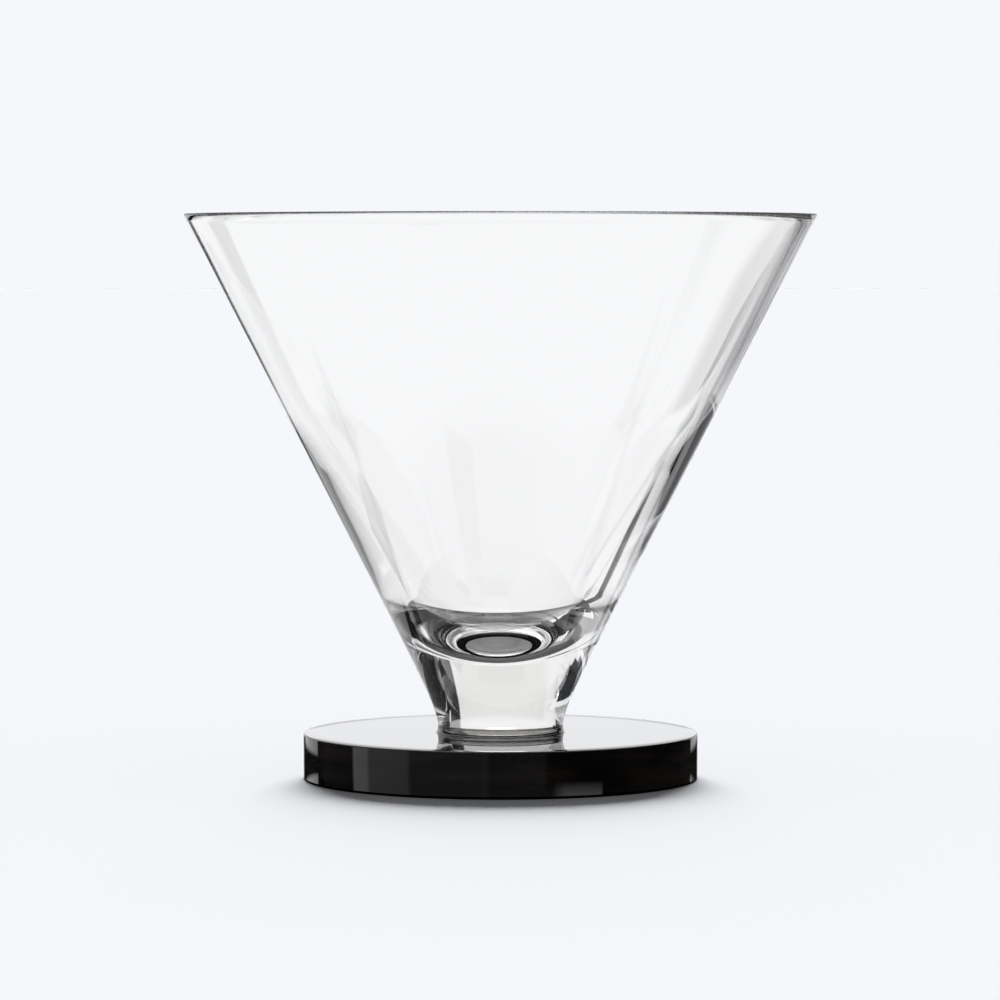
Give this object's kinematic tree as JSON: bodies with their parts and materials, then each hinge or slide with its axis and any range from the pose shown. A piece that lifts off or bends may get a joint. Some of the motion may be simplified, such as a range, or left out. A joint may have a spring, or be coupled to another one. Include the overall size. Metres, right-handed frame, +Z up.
{
  "type": "martini glass",
  "caption": "Clear glass V-shaped cocktail bowl with a short solid foot, bonded to a thick polished disc of black glass that it stands on.",
  "frame": {"origin": "middle of the base disc's flat underside, on the surface that the glass stands on", "axes": "+Z up along the axis of revolution; X and Y are equal, because every piece is turned about Z"},
  "size_m": [0.12, 0.12, 0.1072],
  "materials": {
    "black_glass": "fire-polished black glass with a mirror top and softened edges",
    "clear_bond": "clear optical adhesive with a small glossy fillet",
    "clear_glass": "clear mouth-blown crystal, very slightly wavy"
  },
  "bodies": {
    "root": {"base_disc": "black_glass", "bond": "clear_bond", "bowl": "clear_glass"}
  },
  "joints": []
}
